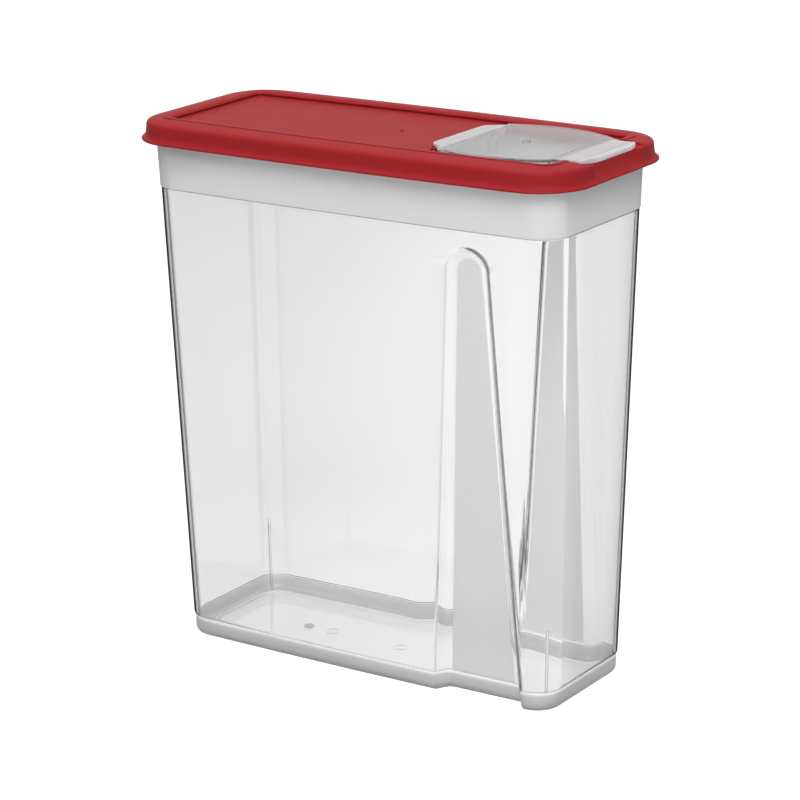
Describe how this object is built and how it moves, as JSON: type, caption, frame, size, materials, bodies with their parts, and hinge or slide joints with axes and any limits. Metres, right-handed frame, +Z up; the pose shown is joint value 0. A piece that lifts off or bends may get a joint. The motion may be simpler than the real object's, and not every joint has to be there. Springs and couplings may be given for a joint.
{
  "type": "cereal container",
  "caption": "Clear drafted storage container with a grip pressed into each broad side, a lift-off opaque lid and a clear flip-up pour cap.",
  "frame": {"origin": "centre of the base, on the surface that the container stands on", "axes": "+Z up, +X along the long side towards the pouring end with the flip cap, +Y across the narrow side"},
  "size_m": [0.2478, 0.1118, 0.2675],
  "materials": {
    "clear_plastic": "clear gloss, frosted on the collar band, the plinth and the floor of the grips",
    "red_plastic": "satin, fine moulded grain",
    "cap_plastic": "clear gloss"
  },
  "bodies": {
    "container": {"container": "clear_plastic"},
    "lid": {"lid": "red_plastic"},
    "flip_cap": {"flip_cap": "cap_plastic"}
  },
  "joints": [
    {"name": "lid_lift", "type": "slide", "parent": "container", "child": "lid", "axis": [0, 0, 1], "range_m": [0, 0.04]},
    {"name": "cap_flip", "type": "hinge", "parent": "lid", "child": "flip_cap", "pos_m": [0.04164, 0, 0.2635], "axis": [0, -1, 0], "range_deg": [0, 110]}
  ]
}
